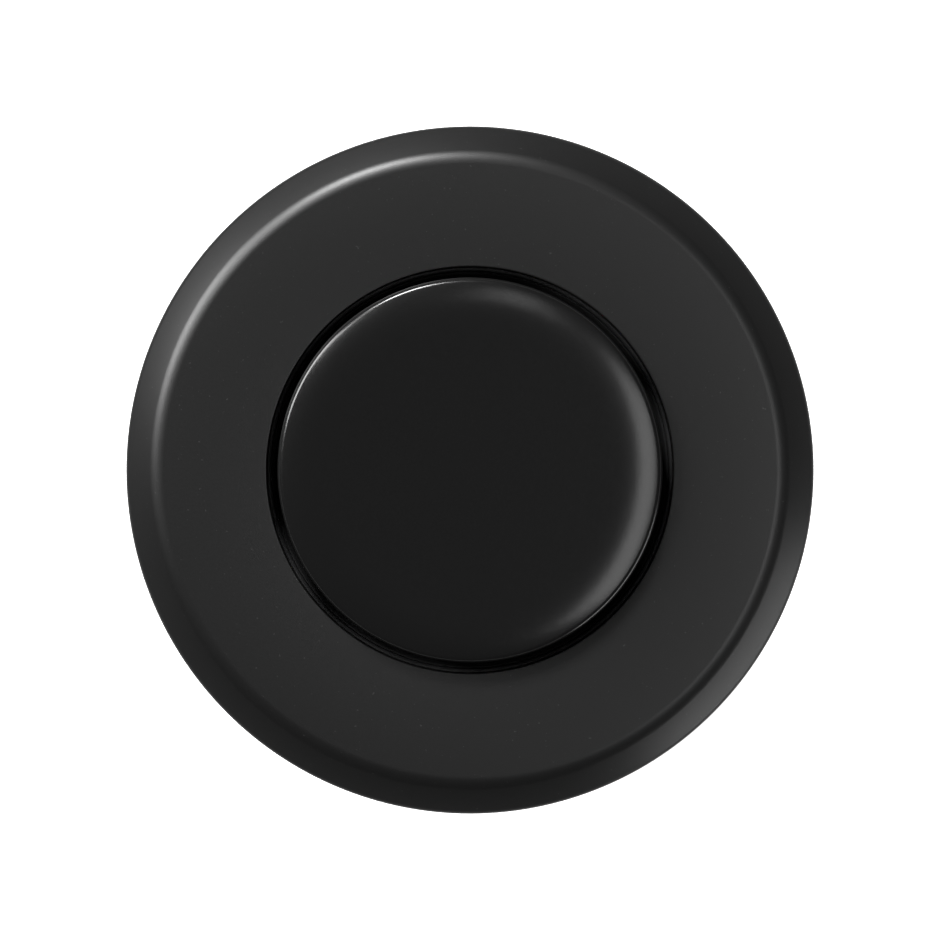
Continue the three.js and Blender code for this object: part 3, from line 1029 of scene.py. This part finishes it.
studio = {"floorSize": 6.0, "floorGlow": 0.97, "roomGlow": 0.05, "lens": 200,
          "sensor": 36, "frameShare": 0.732}


def makeFloor():
    bpy.ops.object.select_all(action="DESELECT")
    bpy.ops.mesh.primitive_grid_add(x_subdivisions=8, y_subdivisions=8, size=studio["floorSize"],
                                    location=(0, 0, cadBox[0][2] - 0.0002))
    floor = settle(bpy.context.object)
    floor.name = "floor"
    look = Look("paleFloor", (0.86, 0.86, 0.85), 0.8)
    look.shader.inputs["Emission Color"].default_value = (1, 1, 1, 1)
    look.shader.inputs["Emission Strength"].default_value = studio["floorGlow"]
    floor.data.materials.append(look.material)
    floor.visible_glossy = False  # the room's lower half is mirrored instead, which is dimmer at its edge


def makeWorld():
    # pale only in a thin band at the horizon, dim overhead, and pale again far below it
    world = bpy.data.worlds.new("studioRoom")
    world.use_nodes = True
    bpy.context.scene.world = world
    nodes, links = world.node_tree.nodes, world.node_tree.links
    place = nodes.new("ShaderNodeTexCoord")
    split = nodes.new("ShaderNodeSeparateXYZ")
    ramp = nodes.new("ShaderNodeValToRGB").color_ramp
    levels = [(-1.0, 0.85), (-0.6, 0.6), (-0.2, 0.1), (-0.038, 0.1), (-0.03, 0.95), (0.045, 0.95),
              (0.055, studio["roomGlow"]), (1.0, studio["roomGlow"])]
    ramp.elements[0].color = (levels[0][1],) * 3 + (1,)
    ramp.elements[1].color = (levels[-1][1],) * 3 + (1,)
    for height, level in levels[1:-1]:
        ramp.elements.new(height / 2 + 0.5).color = (level, level, level, 1)
    shift = nodes.new("ShaderNodeMapRange")
    shift.inputs["From Min"].default_value = -1
    links.new(place.outputs["Generated"], split.inputs[0])
    links.new(split.outputs["Z"], shift.inputs["Value"])
    links.new(shift.outputs[0], nodes["Color Ramp"].inputs[0])
    links.new(nodes["Color Ramp"].outputs[0], nodes["Background"].inputs["Color"])


lamps = {
    # azimuth and angle from overhead in degrees, then width across and height along that angle in
    # metres, then how bright the lamp's face is, where 1 is as bright as white paper
    "rimLamp": {"azimuth": 110, "tilt": 50, "width": 0.2, "height": 0.2, "brightness": 60},
    "keyLamp": {"azimuth": 135, "tilt": 35, "width": 0.15, "height": 0.15, "brightness": 12},
    "leftLamp": {"azimuth": 150, "tilt": 55, "width": 0.4, "height": 0.4, "brightness": 16},
    "rightBox": {"azimuth": -10, "tilt": 20, "width": 0.5, "height": 0.2, "brightness": 3},
    "lowLamp": {"azimuth": -35, "tilt": 85, "width": 0.7, "height": 0.2, "brightness": 4},
    "topBox": {"azimuth": 75, "tilt": 20, "width": 0.1, "height": 0.15, "brightness": 2},
}
lampDistance = 0.9


def makeLamp(name, lamp):
    azimuth, tilt = math.radians(lamp["azimuth"]), math.radians(lamp["tilt"])
    out = (math.sin(tilt) * math.cos(azimuth), math.sin(tilt) * math.sin(azimuth), math.cos(tilt))
    bpy.ops.object.light_add(type="AREA", location=[part * lampDistance for part in out])
    light = bpy.context.object
    light.name = name
    light.rotation_euler = (0, tilt, azimuth)  # faces the plate, with its own Y across
    light.data.shape = "RECTANGLE"
    light.data.size, light.data.size_y = lamp["height"], lamp["width"]
    light.data.energy = lamp["brightness"] * math.pi * lamp["height"] * lamp["width"]


def makeCamera():
    plateSize = measured("trim_flange")
    halfView = plateSize["outer"] * mm / studio["frameShare"]
    rimHeight = (plateSize["top"] - plate["bevelDrop"]) * mm
    distance = halfView / (studio["sensor"] / 2 / studio["lens"])
    bpy.ops.object.camera_add(location=(0, 0, rimHeight + distance), rotation=(0, 0, 0))
    camera = bpy.context.object
    camera.name = "topCamera"
    camera.data.lens = studio["lens"]
    camera.data.sensor_width = studio["sensor"]
    camera.data.clip_start = 0.01
    camera.data.clip_end = 50
    bpy.context.scene.camera = camera


makeFloor()
makeWorld()
for name, lamp in lamps.items():
    makeLamp(name, lamp)
makeCamera()
bpy.context.scene.view_settings.view_transform = "Standard"
print("floor, light and camera made")
